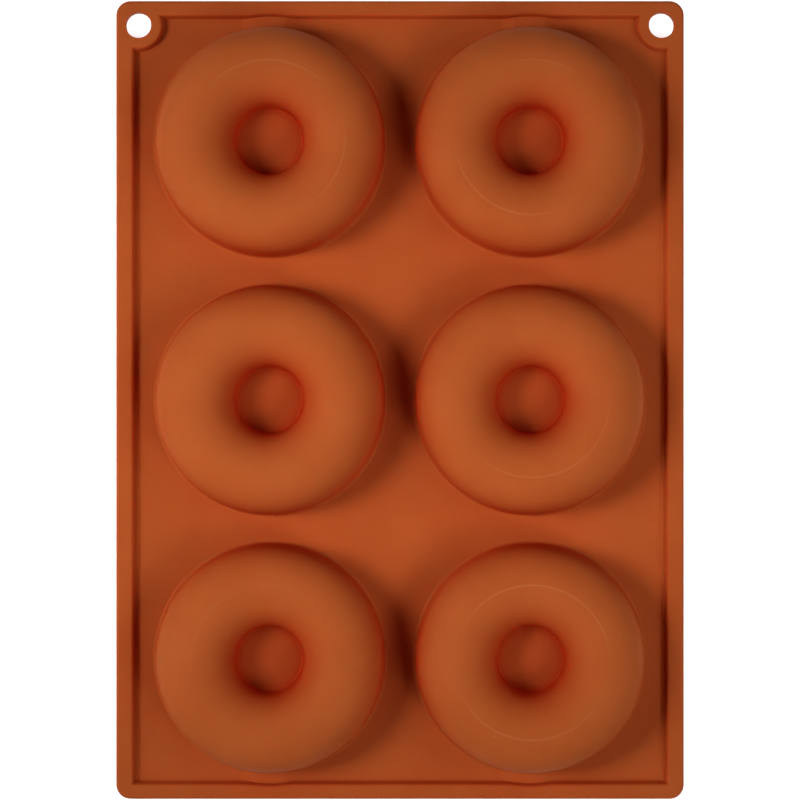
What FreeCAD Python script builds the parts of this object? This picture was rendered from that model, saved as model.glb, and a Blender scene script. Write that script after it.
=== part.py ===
import FreeCAD, Part
import Sketcher

import math
import os

# Doughnut mould: one piece of moulded silicone with a ring cavity per doughnut.
# It stands as photographed, upside down: the flat filling face lies on Z = 0
# and the domes rise along +Z. X runs across the mould, Y along it, and the
# two hanging holes are in the +Y corners. All sizes are in millimetres.

NODE = "doughnut_mould"

# Driving dimensions: name, value, what it is
DIMENSIONS = [
    ("ring_columns", 2, "rings side by side along X"),
    ("ring_rows", 3, "rings in line along Y"),
    ("ring_outer_radius", 36.3, "outside of a ring where it meets the sheet"),
    ("post_hollow_radius", 10.4, "hollow of a centre post at its floor"),
    ("ring_height", 25.0, "top of the domes above the filling face"),
    ("ring_gap_x", 9.0, "sheet left between two rings along X"),
    ("ring_gap_y", 8.5, "sheet left between two rings along Y"),
    ("side_gap", 6.9, "sheet left between a ring and the border along X"),
    ("end_gap", 3.4, "sheet left between a ring and the border along Y"),
    ("skin", 1.3, "wall of the domes and of the centre posts"),
    ("sheet_thickness", 1.3, "flat sheet between the rings"),
    ("draft_angle", 5.0, "release slope of the ring walls, in degrees"),
    ("root_round", 0.9, "hollow corner between a ring and the sheet"),
    ("floor_round", 0.6, "hollow corner at the floor of a centre post"),
    ("post_drop", 5.0, "tip of a centre post, behind the filling face"),
    ("tip_round", 1.2, "rounded edge at the tip of a centre post"),
    ("border_side_width", 5.2, "raised border along the two long sides"),
    ("border_end_width", 4.6, "raised border along the two ends"),
    ("border_height", 4.5, "top of the border above the filling face"),
    ("border_draft_angle", 15.0, "release slope of the border's inner wall, in degrees"),
    ("border_edge_round", 1.0, "rounded top edges of the border"),
    ("rim_edge_round", 0.4, "rounded outer edge of the filling face"),
    ("corner_radius", 4.5, "outer corners of the mould"),
    ("relief_depth", 0.5, "step back of the border beside a ring"),
    ("step_width", 1.9, "low step at the foot of a side border, measured from the field"),
    ("step_ramp", 0.8, "sloping inner side of that step"),
    ("step_rise", 0.6, "top of that step above the sheet"),
    ("bridge_half_width", 9.0, "half of a bridge pad along X, at its foot"),
    ("bridge_ramp", 4.2, "sloping end of a bridge pad along X"),
    ("bridge_rise", 0.9, "top of a bridge pad above the sheet"),
    ("hole_radius", 4.0, "hanging holes"),
    ("hole_inset_x", 7.0, "hanging hole's centre from the side edge"),
    ("hole_inset_y", 7.6, "hanging hole's centre from the end edge"),
    ("boss_wall", 3.3, "border left round a hanging hole"),
]

# Sizes that follow from the driving ones, as expressions on the sheet
PITCH_X = "(2 * dims.ring_outer_radius + dims.ring_gap_x)"
PITCH_Y = "(2 * dims.ring_outer_radius + dims.ring_gap_y)"
LAST_RING_X = f"((dims.ring_columns - 1) * {PITCH_X} / 2)"
LAST_RING_Y = f"((dims.ring_rows - 1) * {PITCH_Y} / 2)"
FIELD_X = f"(2 * ({LAST_RING_X} + dims.ring_outer_radius + dims.side_gap))"
FIELD_Y = f"(2 * ({LAST_RING_Y} + dims.ring_outer_radius + dims.end_gap))"
MOULD_X = f"({FIELD_X} + 2 * dims.border_side_width)"
MOULD_Y = f"({FIELD_Y} + 2 * dims.border_end_width)"
HOLE_X = f"({MOULD_X} / 2 - dims.hole_inset_x)"
HOLE_Y = f"({MOULD_Y} / 2 - dims.hole_inset_y)"
BOSS_RADIUS = "(dims.hole_radius + dims.boss_wall)"
BORDER_RISE = "(dims.border_height - dims.sheet_thickness)"
RELIEF_RADIUS = "(dims.ring_outer_radius + dims.end_gap + dims.relief_depth)"
BRIDGE_START = "(sqrt(dims.ring_outer_radius ^ 2 - dims.bridge_half_width ^ 2) - dims.skin)"
BRIDGE_END = "(dims.ring_outer_radius + dims.end_gap + dims.border_end_width / 2)"
POST_FLOOR = "(dims.post_drop + dims.skin)"
SKIN_ACROSS = "(dims.skin / cos(dims.draft_angle))"
POST_RADIUS = f"(dims.post_hollow_radius + {SKIN_ACROSS} - dims.skin * tan(dims.draft_angle))"
MOUTH_SPREAD = "(dims.sheet_thickness * tan(dims.draft_angle))"
MOUTH_RADIUS = f"(dims.ring_outer_radius - {SKIN_ACROSS} + {MOUTH_SPREAD})"

# Points of a line or an arc, and the sketch's own origin and axes
START, END, CENTRE = range(1, 4)
ORIGIN = (-1, START)
ACROSS, UPRIGHT = -1, -2

# Features that must take material away, and features that must add some
CUTTING = ("Pocket", "Groove")
ADDING = ("Pad", "Revolution")

# Two lengths count as equal when they are this close
TOUCH = 1e-4

doc = FreeCAD.newDocument("doughnut_mould_model")


def make_dimension_sheet():
    """Write every driving dimension into the spreadsheet, each with an alias."""
    sheet = doc.addObject("Spreadsheet::Sheet", "dims")
    for row, (name, value, meaning) in enumerate(DIMENSIONS, start=1):
        sheet.set(f"A{row}", name)
        sheet.set(f"B{row}", str(value))
        sheet.set(f"C{row}", meaning)
        sheet.setAlias(f"B{row}", name)
    doc.recompute()
    return sheet


dims = make_dimension_sheet()
body = doc.addObject("PartDesign::Body", NODE)
body.Label = NODE


def number(expression):
    """The present value of an expression on the sheet."""
    return float(dims.evalExpression(expression))


def origin_part(role):
    """A plane or an axis of the body's own origin, by its role."""
    return next(part for part in body.Origin.OriginFeatures if part.Role == role)


def new_sketch(name, plane, **offsets):
    """A sketch on an origin plane, moved along its own axes by expressions."""
    sketch = body.newObject("Sketcher::SketchObject", name)
    sketch.AttachmentSupport = [(origin_part(plane), "")]
    sketch.MapMode = "FlatFace"
    for axis, expression in offsets.items():
        sketch.setExpression(f"AttachmentOffset.Base.{axis}", expression)
    return sketch


def line(sketch, start, end):
    """Add a straight line and return its number in the sketch."""
    segment = Part.LineSegment(FreeCAD.Vector(*start, 0), FreeCAD.Vector(*end, 0))
    return sketch.addGeometry(segment)


def circle(sketch, centre, radius):
    """Add a full circle and return its number in the sketch."""
    return sketch.addGeometry(Part.Circle(FreeCAD.Vector(*centre, 0), FreeCAD.Vector(0, 0, 1), radius))


def arc(sketch, centre, radius, first_angle, last_angle):
    """Add an anticlockwise arc, angles in degrees, and return its number."""
    whole = Part.Circle(FreeCAD.Vector(*centre, 0), FreeCAD.Vector(0, 0, 1), radius)
    bend = Part.ArcOfCircle(whole, math.radians(first_angle), math.radians(last_angle))
    return sketch.addGeometry(bend)


def mark(sketch, x, y):
    """Add a construction point that sizes can be measured to."""
    return sketch.addGeometry(Part.Point(FreeCAD.Vector(x, y, 0)), True)


def hold(sketch, kind, *where):
    """Add a constraint that has no size."""
    sketch.addConstraint(Sketcher.Constraint(kind, *where))


def join(sketch, kind, *joints):
    """Join end points, each joint given as (piece, point, piece, point)."""
    for joint in joints:
        hold(sketch, kind, *joint)


def close_loop(sketch, loop):
    """Join each piece's end to the start of the next, all the way round."""
    for piece, following in zip(loop, loop[1:] + loop[:1]):
        hold(sketch, "Coincident", piece, END, following, START)


def size(sketch, name, kind, *where, to):
    """Add a named size and bind it to an expression on the sheet."""
    value = number(to)
    if kind == "Angle":
        value = math.radians(value)
    index = sketch.addConstraint(Sketcher.Constraint(kind, *where, value))
    sketch.renameConstraint(index, name)
    sketch.setExpression(f"Constraints.{name}", to)


def add_feature(kind, name, **settings):
    """Add a feature to the body; settings that name the sheet are expressions."""
    before = body.Tip.Shape.Volume if body.Tip else 0
    feature = body.newObject(f"PartDesign::{kind}", name)
    for key, setting in settings.items():
        if isinstance(setting, str) and "dims." in setting:
            feature.setExpression(key, setting)
        else:
            setattr(feature, key, setting)
    body.Tip = feature
    doc.recompute()
    change = feature.Shape.Volume - before
    if (kind in CUTTING and change >= 0) or (kind in ADDING and change <= 0):
        raise RuntimeError(f"{name} changed the volume by {change:.3f} mm3")
    return feature


def spans(piece, low, high):
    """Whether a face or an edge reaches exactly from one height to another."""
    box = piece.BoundBox
    return abs(box.ZMin - low) < TOUCH and abs(box.ZMax - high) < TOUCH


def faces_between(low, high):
    """Names of the body's faces that reach from one height to another."""
    faces = body.Tip.Shape.Faces
    return [f"Face{index}" for index, face in enumerate(faces, start=1) if spans(face, low, high)]


def edges_at(height, keep=lambda edge: True):
    """Names of the body's edges that lie wholly at one height."""
    edges = body.Tip.Shape.Edges
    return [
        f"Edge{index}"
        for index, edge in enumerate(edges, start=1)
        if spans(edge, height, height) and keep(edge)
    ]


def is_hanging_hole(edge):
    """Whether an edge is the rim of a hanging hole."""
    if not isinstance(edge.Curve, Part.Circle):
        return False
    return abs(edge.Curve.Radius - number("dims.hole_radius")) < TOUCH


def is_on_outline(edge):
    """Whether an edge reaches the outer side of the mould."""
    box = edge.BoundBox
    reach_x = max(-box.XMin, box.XMax)
    reach_y = max(-box.YMin, box.YMax)
    return reach_x > number(MOULD_X) / 2 - TOUCH or reach_y > number(MOULD_Y) / 2 - TOUCH


def make_blank():
    """The whole plate, rounded at its corners, as thick as its border."""
    sketch = new_sketch("outline", "XY_Plane")
    half_x = number(MOULD_X) / 2
    half_y = number(MOULD_Y) / 2
    bend = number("dims.corner_radius")
    straight_x = half_x - bend
    straight_y = half_y - bend
    bottom = line(sketch, (-straight_x, -half_y), (straight_x, -half_y))
    right = line(sketch, (half_x, -straight_y), (half_x, straight_y))
    top = line(sketch, (straight_x, half_y), (-straight_x, half_y))
    left = line(sketch, (-half_x, straight_y), (-half_x, -straight_y))
    bottom_right = arc(sketch, (straight_x, -straight_y), bend, 270, 360)
    top_right = arc(sketch, (straight_x, straight_y), bend, 0, 90)
    top_left = arc(sketch, (-straight_x, straight_y), bend, 90, 180)
    bottom_left = arc(sketch, (-straight_x, -straight_y), bend, 180, 270)
    loop = [bottom, bottom_right, right, top_right, top, top_left, left, bottom_left]
    for piece, following in zip(loop, loop[1:] + loop[:1]):
        hold(sketch, "Tangent", piece, END, following, START)
    for corner in (top_right, top_left, bottom_left):
        hold(sketch, "Equal", bottom_right, corner)
    for level in (bottom, top):
        hold(sketch, "Horizontal", level)
    for upright in (right, left):
        hold(sketch, "Vertical", upright)
    hold(sketch, "Symmetric", bottom_left, CENTRE, top_right, CENTRE, *ORIGIN)
    size(sketch, "corner", "Radius", bottom_right, to="dims.corner_radius")
    size(sketch, "across", "DistanceX", left, START, right, START, to=MOULD_X)
    size(sketch, "along", "DistanceY", bottom, START, top, START, to=MOULD_Y)
    add_feature("Pad", "blank", Profile=sketch, Length="dims.border_height")


def sink_field():
    """The sunk field inside the border, which leaves a round boss at each hole."""
    sketch = new_sketch("field_outline", "XY_Plane", z="dims.border_height")
    half_x = number(FIELD_X) / 2
    half_y = number(FIELD_Y) / 2
    boss_x = number(HOLE_X)
    boss_y = number(HOLE_Y)
    boss = number(BOSS_RADIUS)
    side_drop = math.sqrt(boss**2 - (half_x - boss_x) ** 2)
    end_drop = math.sqrt(boss**2 - (half_y - boss_y) ** 2)
    side_angle = math.degrees(math.atan2(-side_drop, half_x - boss_x))
    end_angle = math.degrees(math.atan2(half_y - boss_y, -end_drop))
    bottom = line(sketch, (-half_x, -half_y), (half_x, -half_y))
    right = line(sketch, (half_x, -half_y), (half_x, boss_y - side_drop))
    right_boss = arc(sketch, (boss_x, boss_y), boss, end_angle, side_angle + 360)
    top = line(sketch, (boss_x - end_drop, half_y), (end_drop - boss_x, half_y))
    left_boss = arc(sketch, (-boss_x, boss_y), boss, 180 - side_angle, 540 - end_angle)
    left = line(sketch, (-half_x, boss_y - side_drop), (-half_x, -half_y))
    join(
        sketch,
        "Coincident",
        (bottom, END, right, START),
        (right, END, right_boss, END),
        (right_boss, START, top, START),
        (top, END, left_boss, END),
        (left_boss, START, left, START),
        (left, END, bottom, START),
    )
    hold(sketch, "Horizontal", top)
    for upright in (right, left):
        hold(sketch, "Vertical", upright)
    hold(sketch, "Equal", right_boss, left_boss)
    hold(sketch, "Symmetric", bottom, START, bottom, END, UPRIGHT)
    hold(sketch, "Symmetric", left_boss, CENTRE, right_boss, CENTRE, UPRIGHT)
    size(sketch, "across", "DistanceX", bottom, START, bottom, END, to=FIELD_X)
    size(sketch, "along", "DistanceY", bottom, START, top, START, to=FIELD_Y)
    size(sketch, "half_along", "DistanceY", *ORIGIN, top, START, to=f"{FIELD_Y} / 2")
    size(sketch, "boss", "Radius", right_boss, to=BOSS_RADIUS)
    size(sketch, "boss_x", "DistanceX", *ORIGIN, right_boss, CENTRE, to=HOLE_X)
    size(sketch, "boss_y", "DistanceY", *ORIGIN, right_boss, CENTRE, to=HOLE_Y)
    field = add_feature("Pocket", "field", Profile=sketch, Length=BORDER_RISE)
    add_feature(
        "Draft",
        "field_draft",
        Base=(field, faces_between(number("dims.sheet_thickness"), number("dims.border_height"))),
        NeutralPlane=(field, faces_between(number("dims.border_height"), number("dims.border_height"))),
        Angle="dims.border_draft_angle",
    )


def add_side_steps():
    """A low step with a sloping side, along the foot of each side border."""
    sketch = new_sketch("step_section", "XZ_Plane", x=f"{FIELD_X} / 2", y="dims.sheet_thickness")
    foot_x = number("dims.step_width")
    top_x = foot_x - number("dims.step_ramp")
    rise = number("dims.step_rise")
    depth = number("dims.border_side_width") / 2
    foot = line(sketch, (-foot_x, 0), (depth, 0))
    inside = line(sketch, (depth, 0), (depth, rise))
    top = line(sketch, (depth, rise), (-top_x, rise))
    ramp = line(sketch, (-top_x, rise), (-foot_x, 0))
    close_loop(sketch, [foot, inside, top, ramp])
    hold(sketch, "PointOnObject", foot, START, ACROSS)
    for level in (foot, top):
        hold(sketch, "Horizontal", level)
    hold(sketch, "Vertical", inside)
    size(sketch, "width", "DistanceX", foot, START, *ORIGIN, to="dims.step_width")
    size(sketch, "depth", "DistanceX", *ORIGIN, foot, END, to="dims.border_side_width / 2")
    size(sketch, "ramp", "DistanceX", ramp, END, ramp, START, to="dims.step_ramp")
    size(sketch, "rise", "DistanceY", *ORIGIN, top, START, to="dims.step_rise")
    length = f"{FIELD_Y} + dims.border_end_width"
    step = add_feature("Pad", "side_step", Profile=sketch, Length=length, Midplane=True)
    add_feature("Mirrored", "side_steps", Originals=[step], MirrorPlane=(origin_part("YZ_Plane"), [""]))


def ease_border():
    """The border's inner wall steps back round an end ring, with its own slope."""
    sketch = new_sketch(
        "relief_section",
        "XZ_Plane",
        x=f"-{LAST_RING_X}",
        y="dims.sheet_thickness",
        z=LAST_RING_Y,
    )
    rise = number(BORDER_RISE)
    top_x = number(RELIEF_RADIUS)
    foot_x = top_x - rise * math.tan(math.radians(number("dims.border_draft_angle")))
    base = line(sketch, (0, 0), (foot_x, 0))
    wall = line(sketch, (foot_x, 0), (top_x, rise))
    top = line(sketch, (top_x, rise), (0, rise))
    axis = line(sketch, (0, rise), (0, 0))
    close_loop(sketch, [base, wall, top, axis])
    hold(sketch, "Coincident", base, START, *ORIGIN)
    for level in (base, top):
        hold(sketch, "Horizontal", level)
    hold(sketch, "Vertical", axis)
    size(sketch, "rise", "DistanceY", axis, END, axis, START, to=BORDER_RISE)
    size(sketch, "top_radius", "DistanceX", top, END, top, START, to=RELIEF_RADIUS)
    size(sketch, "lean", "Angle", wall, to="90 - dims.border_draft_angle")
    return add_feature("Groove", "relief", Profile=sketch, ReferenceAxis=(sketch, ["V_Axis"]))


def bridge_gap():
    """A low pad with sloping ends, from an end ring's wall to the border."""
    sketch = new_sketch(
        "bridge_section",
        "XZ_Plane",
        x=f"-{LAST_RING_X}",
        y="dims.sheet_thickness",
        z=f"{LAST_RING_Y} + {BRIDGE_START}",
    )
    foot_x = number("dims.bridge_half_width")
    top_x = foot_x - number("dims.bridge_ramp")
    rise = number("dims.bridge_rise")
    foot = line(sketch, (-foot_x, 0), (foot_x, 0))
    right_ramp = line(sketch, (foot_x, 0), (top_x, rise))
    top = line(sketch, (top_x, rise), (-top_x, rise))
    left_ramp = line(sketch, (-top_x, rise), (-foot_x, 0))
    close_loop(sketch, [foot, right_ramp, top, left_ramp])
    hold(sketch, "PointOnObject", foot, START, ACROSS)
    hold(sketch, "Symmetric", foot, START, foot, END, UPRIGHT)
    hold(sketch, "Symmetric", top, START, top, END, UPRIGHT)
    size(sketch, "half_width", "DistanceX", *ORIGIN, foot, END, to="dims.bridge_half_width")
    size(sketch, "ramp", "DistanceX", right_ramp, END, right_ramp, START, to="dims.bridge_ramp")
    size(sketch, "rise", "DistanceY", *ORIGIN, top, START, to="dims.bridge_rise")
    return add_feature("Pad", "bridge", Profile=sketch, Length=f"{BRIDGE_END} - {BRIDGE_START}")


def finish_ends():
    """Repeat the eased border and its bridge at every ring of both end rows."""
    details = [ease_border(), bridge_gap()]
    columns = body.newObject("PartDesign::LinearPattern", "end_columns")
    columns.Direction = (origin_part("X_Axis"), [""])
    columns.setExpression("Length", f"2 * {LAST_RING_X}")
    columns.setExpression("Occurrences", "dims.ring_columns")
    other_end = body.newObject("PartDesign::Mirrored", "other_end")
    other_end.MirrorPlane = (origin_part("XZ_Plane"), [""])
    add_feature("MultiTransform", "both_ends", Originals=details, Transformations=[columns, other_end])


def draw_foot(sketch, outer_wall, foot_x, foot_z, foot, lean):
    """A hollow corner below the outer wall, then a plain edge down to the base.

    Returns the arc and the edge.
    """
    foot_arc = arc(sketch, (foot_x, foot_z + foot), foot, 180 + math.degrees(lean), 270)
    edge = line(sketch, (foot_x, foot_z), (foot_x, 0))
    hold(sketch, "Tangent", outer_wall, START, foot_arc, START)
    hold(sketch, "Coincident", foot_arc, END, edge, START)
    hold(sketch, "Vertical", edge)
    hold(sketch, "Vertical", foot_arc, CENTRE, foot_arc, END)
    return foot_arc, edge


def draw_ring_section(name, drop, inner, outer, floor, top, corner_round, foot_round=None):
    """Half the section of a ring, closed on the ring's own axis.

    From the axis it follows the floor of the centre post, goes up the post's
    wall, over the dome and down the outer wall to the base. inner and outer
    are the radii where the two walls would cross the floor and the foot, which
    is one sheet's thickness above the base. With a foot_round the outer wall
    ends there, in a hollow corner. drop moves the whole section along Z.
    """
    sketch = new_sketch(name, "XZ_Plane", x=f"-{LAST_RING_X}", y=drop, z=LAST_RING_Y)
    lean = math.radians(number("dims.draft_angle"))
    inner_radius = number(inner)
    outer_radius = number(outer)
    floor_z = number(floor)
    foot_z = number("dims.sheet_thickness")
    top_z = number(top)
    corner = number(corner_round)
    foot = number(foot_round) if foot_round else 0

    def inner_wall_at(height):
        return inner_radius + (height - floor_z) * math.tan(lean)

    def outer_wall_at(height):
        return outer_radius - (height - foot_z) * math.tan(lean)

    width_at_top = outer_wall_at(top_z) - inner_wall_at(top_z)
    dome = width_at_top / 2 * math.cos(lean) / (1 - math.sin(lean))
    dome_x = (outer_wall_at(top_z) + inner_wall_at(top_z)) / 2
    dome_z = top_z - dome
    corner_x = inner_wall_at(floor_z + corner) - corner / math.cos(lean)
    foot_x = outer_wall_at(foot_z + foot) + foot / math.cos(lean)
    wall_end = (outer_wall_at(0), 0)
    if foot_round:
        wall_end = (foot_x - foot * math.cos(lean), foot_z + foot * (1 - math.sin(lean)))
    dome_reach = dome * math.cos(lean)
    dome_lift = dome * math.sin(lean)

    axis = line(sketch, (0, 0), (0, floor_z))
    floor_line = line(sketch, (0, floor_z), (corner_x, floor_z))
    corner_arc = arc(sketch, (corner_x, floor_z + corner), corner, -90, -math.degrees(lean))
    inner_wall = line(
        sketch,
        (corner_x + corner * math.cos(lean), floor_z + corner * (1 - math.sin(lean))),
        (dome_x - dome_reach, dome_z + dome_lift),
    )
    dome_arc = arc(sketch, (dome_x, dome_z), dome, math.degrees(lean), 180 - math.degrees(lean))
    outer_wall = line(sketch, wall_end, (dome_x + dome_reach, dome_z + dome_lift))
    base_end = (outer_wall, START)
    if foot_round:
        foot_arc, edge = draw_foot(sketch, outer_wall, foot_x, foot_z, foot, lean)
        base_end = (edge, END)
    base = line(sketch, (foot_x if foot_round else wall_end[0], 0), (0, 0))

    join(
        sketch,
        "Coincident",
        (axis, END, floor_line, START),
        (base, START, *base_end),
        (base, END, axis, START),
        (axis, START, *ORIGIN),
    )
    join(
        sketch,
        "Tangent",
        (floor_line, END, corner_arc, START),
        (corner_arc, END, inner_wall, START),
        (inner_wall, END, dome_arc, END),
        (dome_arc, START, outer_wall, END),
    )
    hold(sketch, "Vertical", axis)
    for level in (floor_line, base):
        hold(sketch, "Horizontal", level)

    inner_mark = mark(sketch, inner_radius, floor_z)
    outer_mark = mark(sketch, outer_radius, foot_z)
    top_mark = mark(sketch, dome_x, top_z)
    hold(sketch, "PointOnObject", inner_mark, START, inner_wall)
    hold(sketch, "Horizontal", inner_mark, START, floor_line, START)
    hold(sketch, "PointOnObject", outer_mark, START, outer_wall)
    hold(sketch, "PointOnObject", top_mark, START, dome_arc)
    hold(sketch, "Vertical", top_mark, START, dome_arc, CENTRE)

    size(sketch, "inner", "DistanceX", *ORIGIN, inner_mark, START, to=inner)
    size(sketch, "outer", "DistanceX", *ORIGIN, outer_mark, START, to=outer)
    size(sketch, "floor", "DistanceY", *ORIGIN, floor_line, START, to=floor)
    size(sketch, "foot", "DistanceY", *ORIGIN, outer_mark, START, to="dims.sheet_thickness")
    size(sketch, "top", "DistanceY", *ORIGIN, top_mark, START, to=top)
    size(sketch, "inner_lean", "Angle", inner_wall, to="90 - dims.draft_angle")
    size(sketch, "outer_lean", "Angle", outer_wall, to="90 + dims.draft_angle")
    size(sketch, "corner_round", "Radius", corner_arc, to=corner_round)
    if foot_round:
        hold(sketch, "Horizontal", outer_mark, START, edge, START)
        size(sketch, "foot_round", "Radius", foot_arc, to=foot_round)
    return sketch


def make_rings():
    """Turn one ring's outside and its cavity, then repeat both over the sheet."""
    outside = draw_ring_section(
        "ring_outside",
        drop="0 * dims.sheet_thickness",
        inner="dims.post_hollow_radius",
        outer="dims.ring_outer_radius",
        floor=POST_FLOOR,
        top="dims.ring_height",
        corner_round="dims.floor_round",
        foot_round="dims.root_round",
    )
    form = add_feature("Revolution", "ring_form", Profile=outside, ReferenceAxis=(outside, ["V_Axis"]))
    inside = draw_ring_section(
        "ring_inside",
        drop="-dims.sheet_thickness",
        inner=POST_RADIUS,
        outer=MOUTH_RADIUS,
        floor="dims.post_drop + dims.sheet_thickness",
        top="dims.ring_height - dims.skin + dims.sheet_thickness",
        corner_round="dims.tip_round",
    )
    cavity = add_feature("Groove", "ring_cavity", Profile=inside, ReferenceAxis=(inside, ["V_Axis"]))
    add_feature(
        "LinearPattern",
        "rings",
        Originals=[form, cavity],
        Direction=(origin_part("X_Axis"), [""]),
        Length=f"2 * {LAST_RING_X}",
        Occurrences="dims.ring_columns",
        Direction2=(origin_part("Y_Axis"), [""]),
        Length2=f"2 * {LAST_RING_Y}",
        Occurrences2="dims.ring_rows",
    )


def pierce_hanging_holes():
    """Two round holes through the bosses in the +Y corners."""
    sketch = new_sketch("hole_circles", "XY_Plane", z="dims.border_height")
    right = circle(sketch, (number(HOLE_X), number(HOLE_Y)), number("dims.hole_radius"))
    left = circle(sketch, (-number(HOLE_X), number(HOLE_Y)), number("dims.hole_radius"))
    hold(sketch, "Equal", right, left)
    hold(sketch, "Symmetric", left, CENTRE, right, CENTRE, UPRIGHT)
    size(sketch, "radius", "Radius", right, to="dims.hole_radius")
    size(sketch, "hole_x", "DistanceX", *ORIGIN, right, CENTRE, to=HOLE_X)
    size(sketch, "hole_y", "DistanceY", *ORIGIN, right, CENTRE, to=HOLE_Y)
    add_feature("Pocket", "hanging_holes", Profile=sketch, Type="ThroughAll")


def round_edges():
    """Soft edges along the top of the border and round the filling face."""
    top = edges_at(number("dims.border_height"), lambda edge: not is_hanging_hole(edge))
    add_feature("Fillet", "border_edges", Base=(body.Tip, top), Radius="dims.border_edge_round")
    rim = edges_at(0, is_on_outline)
    add_feature("Fillet", "rim_edge", Base=(body.Tip, rim), Radius="dims.rim_edge_round")


def check_model():
    """Stop if any object failed or the mould isn't one sound solid."""
    for item in doc.Objects:
        if "Invalid" in item.State or "Error" in item.State:
            raise RuntimeError(f"{item.Name} has state {item.State}")
    shape = body.Shape
    if shape.isNull() or not shape.isValid() or len(shape.Solids) != 1:
        raise RuntimeError(f"{body.Label} isn't one valid solid")


make_blank()
sink_field()
add_side_steps()
finish_ends()
make_rings()
pierce_hanging_holes()
round_edges()
check_model()

os.makedirs("parts", exist_ok=True)
body.Shape.exportStep(f"parts/{body.Label}.step")
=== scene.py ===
import math

import bpy
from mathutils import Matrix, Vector

# The mould lies upside down on a pale table and the camera looks straight down
# on its domes. Everything is in metres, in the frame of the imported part.

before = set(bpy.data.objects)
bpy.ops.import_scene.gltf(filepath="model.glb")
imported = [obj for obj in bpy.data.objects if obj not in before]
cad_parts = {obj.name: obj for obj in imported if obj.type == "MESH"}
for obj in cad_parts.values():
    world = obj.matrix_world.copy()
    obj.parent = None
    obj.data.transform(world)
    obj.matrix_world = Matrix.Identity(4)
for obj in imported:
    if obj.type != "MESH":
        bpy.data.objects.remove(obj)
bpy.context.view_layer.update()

MM = 0.001

# Rings: how far apart they stand, where their domes are highest, and the flat
# part and the outer edge of each post's floor, from the ring's axis
RING_PITCH_X = 81.6 * MM
RING_PITCH_Y = 81.1 * MM
CROWN_RADIUS = 23.9 * MM
FLOOR_FLAT = 7.0 * MM
FLOOR_EDGE = 10.5 * MM

# Heights above the table over which the painted shade fades in, from the sheet up onto
# the dome and post walls
SHEET_TOP = 2.5 * MM
WALL_START = 6.0 * MM

# The crown line's half width: fully there, and gone
LINE_CORE = 0.05 * MM
LINE_FADE = 0.45 * MM

# Colours: the silicone's two clouds, a deeper red used as painted shade, and dust
TERRACOTTA = (0.49, 0.102, 0.022, 1)
PALER = (0.52, 0.114, 0.026, 1)
PAINTED_SHADE_RED = (0.46, 0.012, 0.0005, 1)
DUSTY = (0.72, 0.32, 0.14, 1)
WHITE = (1, 1, 1, 1)

# Surroundings: the table, and the walls and the ceiling as the mould sees them
TABLE_SIZE = 4.0
TABLE_GAP = 0.1 * MM
TABLE_COLOUR = (0.85, 0.85, 0.85, 1)
TABLE_GLOW = 0.88
WALL_LIGHT = 0.10
CEILING_LIGHT = 0.03

# Soft round lamps, all aimed near the middle of the mould: name, compass angle
# from +X and height above the table in degrees, width and tallness as seen from
# the mould in degrees, and light on a face turned to the lamp
LAMPS = [
    ("key", 180, 50, 20, 24, 3.0),
    ("key_low", 180, 20, 20, 20, 0.55),
    ("low_right", 315, 50, 20, 20, 1.25),
    ("right", 0, 48, 20, 28, 0.83),
]
LAMP_DISTANCE = 0.8
LAMP_SPREAD = 44.0
LAMP_AIM = Vector((3 * MM, 9 * MM, 0))

# Camera: its height comes from how far the photograph shifts the domes' crowns
# outwards, and its lens, in millimetres, from the size of the mould's outline
CAMERA_HEIGHT = 1.15
CAMERA_LENS = 164.1
SENSOR_WIDTH = 36


class Nodes:
    """A shader tree with short calls for the nodes used here."""

    def __init__(self, tree):
        self.tree = tree

    def add(self, kind, **settings):
        """A new node with some of its settings given."""
        node = self.tree.nodes.new(kind)
        for name, value in settings.items():
            setattr(node, name, value)
        return node

    def put(self, node, socket, value):
        """Link an output to an input, or set the input's own value."""
        target = node.inputs[socket]
        if isinstance(value, bpy.types.NodeSocket):
            self.tree.links.new(value, target)
        else:
            target.default_value = value

    def math(self, operation, *values):
        """The output of a math node."""
        node = self.add("ShaderNodeMath", operation=operation)
        for index, value in enumerate(values):
            self.put(node, index, value)
        return node.outputs[0]

    def apart(self, vector):
        """The outputs X, Y and Z of a vector."""
        node = self.add("ShaderNodeSeparateXYZ")
        self.put(node, 0, vector)
        return node.outputs

    def noise(self, vector, scale, detail=0.0, roughness=0.5):
        """Soft noise from 0 to 1, with scale in waves per metre."""
        node = self.add("ShaderNodeTexNoise")
        self.put(node, "Vector", vector)
        self.put(node, "Scale", scale)
        self.put(node, "Detail", detail)
        self.put(node, "Roughness", roughness)
        return node.outputs[0]

    def ramp(self, value, low, high, out_low=0.0, out_high=1.0):
        """Smoothly from out_low to out_high as value goes from low to high."""
        node = self.add("ShaderNodeMapRange", interpolation_type="SMOOTHSTEP")
        self.put(node, "Value", value)
        self.put(node, "From Min", low)
        self.put(node, "From Max", high)
        self.put(node, "To Min", out_low)
        self.put(node, "To Max", out_high)
        return node.outputs[0]

    def mix(self, share, first, second):
        """A colour between two, by share from 0 to 1."""
        node = self.add("ShaderNodeMix", data_type="RGBA")
        self.put(node, "Factor", share)
        for socket, value in ((6, first), (7, second)):
            self.put(node, socket, value)
        return node.outputs[2]

    def background_rays(self):
        """1 for camera, glossy and transmission rays, which see a white background."""
        path = self.add("ShaderNodeLightPath").outputs
        seen = self.math("MAXIMUM", path["Is Camera Ray"], path["Is Glossy Ray"])
        return self.math("MAXIMUM", seen, path["Is Transmission Ray"])


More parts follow.
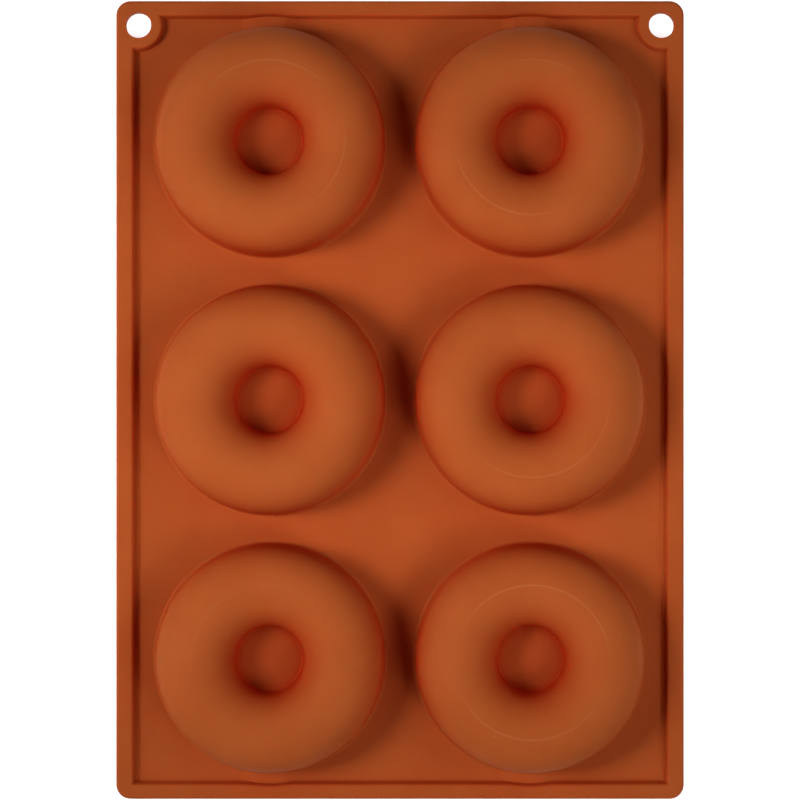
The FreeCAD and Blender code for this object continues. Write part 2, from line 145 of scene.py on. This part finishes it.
def ring_distance(n, parts):
    """Distance from the axis of the nearest ring, for two columns and three rows."""
    across = n.math("SUBTRACT", n.math("ABSOLUTE", parts["X"]), RING_PITCH_X / 2)
    along = n.math("PINGPONG", parts["Y"], RING_PITCH_Y / 2)
    squares = n.math("ADD", n.math("POWER", across, 2.0), n.math("POWER", along, 2.0))
    return n.math("SQRT", squares)


def silicone():
    """Terracotta silicone: soft, satin and a little translucent."""
    material = bpy.data.materials.new("silicone")
    material.use_nodes = True
    tree = material.node_tree
    shader = tree.nodes["Principled BSDF"]
    n = Nodes(tree)
    place = n.add("ShaderNodeTexCoord").outputs["Object"]
    parts = n.apart(place)
    from_axis = ring_distance(n, parts)

    # Faint thin line along the crown of each dome, in some stretches only
    off_crown = n.math("ABSOLUTE", n.math("SUBTRACT", from_axis, CROWN_RADIUS))
    line = n.ramp(off_crown, LINE_CORE, LINE_FADE, 1.0, 0.0)
    line = n.math("MULTIPLY", line, n.ramp(n.noise(place, 22.0), 0.53, 0.73))

    # Dust specks, in a few patches only
    cells = n.add("ShaderNodeTexVoronoi")
    n.put(cells, "Vector", place)
    n.put(cells, "Scale", 110.0)
    specks = n.ramp(cells.outputs["Distance"], 0.02, 0.06, 1.0, 0.0)
    specks = n.math("MULTIPLY", specks, n.ramp(n.noise(place, 35.0), 0.62, 0.70))

    # Colour: clouded, with painted shade: a deeper red where ambient occlusion finds
    # little open sky, most of all on the dome and post walls and less on the posts'
    # floors and the sheet
    clouds = n.ramp(n.noise(place, 45.0, 2.0, 0.6), 0.3, 0.7)
    colour = n.mix(clouds, TERRACOTTA, PALER)
    painted_shade_ao = n.add("ShaderNodeAmbientOcclusion", samples=1)
    n.put(painted_shade_ao, "Distance", 40 * MM)
    post_floor = n.ramp(from_axis, FLOOR_FLAT, FLOOR_EDGE, 0.5, 0.0)
    sheet = n.ramp(parts["Z"], SHEET_TOP, WALL_START, 0.6, 0.0)
    # The painted shade is held back on the posts' floors and on the sheet
    shade_held_back = n.math("MAXIMUM", post_floor, sheet)
    colour = n.mix(n.math("MAXIMUM", painted_shade_ao.outputs["AO"], shade_held_back), PAINTED_SHADE_RED, colour)

    # Paler on the line and the specks
    marks = n.math("MAXIMUM", line, specks)
    colour = n.mix(n.math("MULTIPLY", marks, 0.18), colour, DUSTY)
    n.put(shader, "Base Color", colour)

    shader.inputs["Subsurface Weight"].default_value = 0.3
    shader.inputs["Subsurface Radius"].default_value = (1.0, 0.25, 0.1)
    shader.inputs["Subsurface Scale"].default_value = 4 * MM
    shader.inputs["Specular IOR Level"].default_value = 0.03
    shader.inputs["Specular Tint"].default_value = (1.0, 0.75, 0.55, 1)

    # Gloss: satin, with dull and smoother patches from handling
    patches = n.ramp(n.noise(place, 70.0, 1.0, 0.65), 0.3, 0.7, 0.48, 0.62)
    n.put(shader, "Roughness", patches)

    # Relief: fine grain of the tool and soft waves
    grain = n.math("MULTIPLY", n.noise(place, 1800.0), 0.03 * MM)
    waves = n.math("MULTIPLY", n.noise(place, 90.0), 0.10 * MM)
    bump = n.add("ShaderNodeBump")
    n.put(bump, "Strength", 0.5)
    n.put(bump, "Distance", 1.0)
    n.put(bump, "Height", n.math("ADD", grain, waves))
    n.put(shader, "Normal", bump.outputs[0])
    return material


def white_table():
    """A pale table that looks white to the camera and keeps a faint shadow."""
    bpy.ops.mesh.primitive_plane_add(size=TABLE_SIZE, location=(0, 0, -TABLE_GAP))
    floor = bpy.context.object
    floor.name = "floor"
    material = bpy.data.materials.new("table")
    material.use_nodes = True
    tree = material.node_tree
    tree.nodes.clear()
    n = Nodes(tree)
    out = n.add("ShaderNodeOutputMaterial")
    diffuse = n.add("ShaderNodeBsdfDiffuse")
    n.put(diffuse, "Color", TABLE_COLOUR)
    glow = n.add("ShaderNodeEmission")
    n.put(glow, "Color", WHITE)
    n.put(glow, "Strength", n.math("MULTIPLY", n.background_rays(), TABLE_GLOW))
    both = n.add("ShaderNodeAddShader")
    n.put(both, 0, diffuse.outputs[0])
    n.put(both, 1, glow.outputs[0])
    n.put(out, "Surface", both.outputs[0])
    floor.data.materials.append(material)


def soft_lamp(name, compass, height, width, tallness, light):
    """A soft lamp with a grid, so that its light falls off towards the mould's edges."""
    data = bpy.data.lights.new(name, "AREA")
    data.shape = "ELLIPSE"
    data.size = 2 * LAMP_DISTANCE * math.tan(math.radians(width / 2))
    data.size_y = 2 * LAMP_DISTANCE * math.tan(math.radians(tallness / 2))
    data.spread = math.radians(LAMP_SPREAD)

    # A narrower beam of the same power is brighter in its middle, by one over
    # the last factor
    half = data.spread / 2
    data.energy = light * math.pi * LAMP_DISTANCE**2 * (1 - half / math.tan(half))

    lamp = bpy.data.objects.new(name, data)
    bpy.context.scene.collection.objects.link(lamp)
    a, h = math.radians(compass), math.radians(height)
    back = Vector((math.cos(a) * math.cos(h), math.sin(a) * math.cos(h), math.sin(h)))
    lamp.rotation_mode = "QUATERNION"
    lamp.rotation_quaternion = back.to_track_quat("Z", "Y")
    lamp.location = LAMP_AIM + back * LAMP_DISTANCE
    lamp.visible_camera = False


def light_scene():
    """Dim walls round the table, a darker ceiling, and the soft lamps."""
    world = bpy.data.worlds.new("studio")
    bpy.context.scene.world = world
    world.use_nodes = True
    n = Nodes(world.node_tree)
    surround = world.node_tree.nodes["Background"]
    upward = n.apart(n.add("ShaderNodeTexCoord").outputs["Generated"])["Z"]
    walls = n.ramp(upward, 0.35, 0.85, WALL_LIGHT, CEILING_LIGHT)
    n.put(surround, "Color", WHITE)
    n.put(surround, "Strength", n.math("MAXIMUM", walls, n.background_rays()))
    for lamp in LAMPS:
        soft_lamp(*lamp)


def look_down():
    """The photograph's camera, straight above the mould."""
    data = bpy.data.cameras.new("camera")
    data.sensor_width = SENSOR_WIDTH
    data.lens = CAMERA_LENS
    data.clip_start, data.clip_end = 0.05, 20
    camera = bpy.data.objects.new("camera", data)
    bpy.context.scene.collection.objects.link(camera)
    camera.location = (0, 0, CAMERA_HEIGHT)
    bpy.context.scene.camera = camera


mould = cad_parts["doughnut_mould"]
mould.data.materials.clear()
mould.data.materials.append(silicone())
white_table()
light_scene()
look_down()
bpy.context.scene.view_settings.view_transform = "Standard"
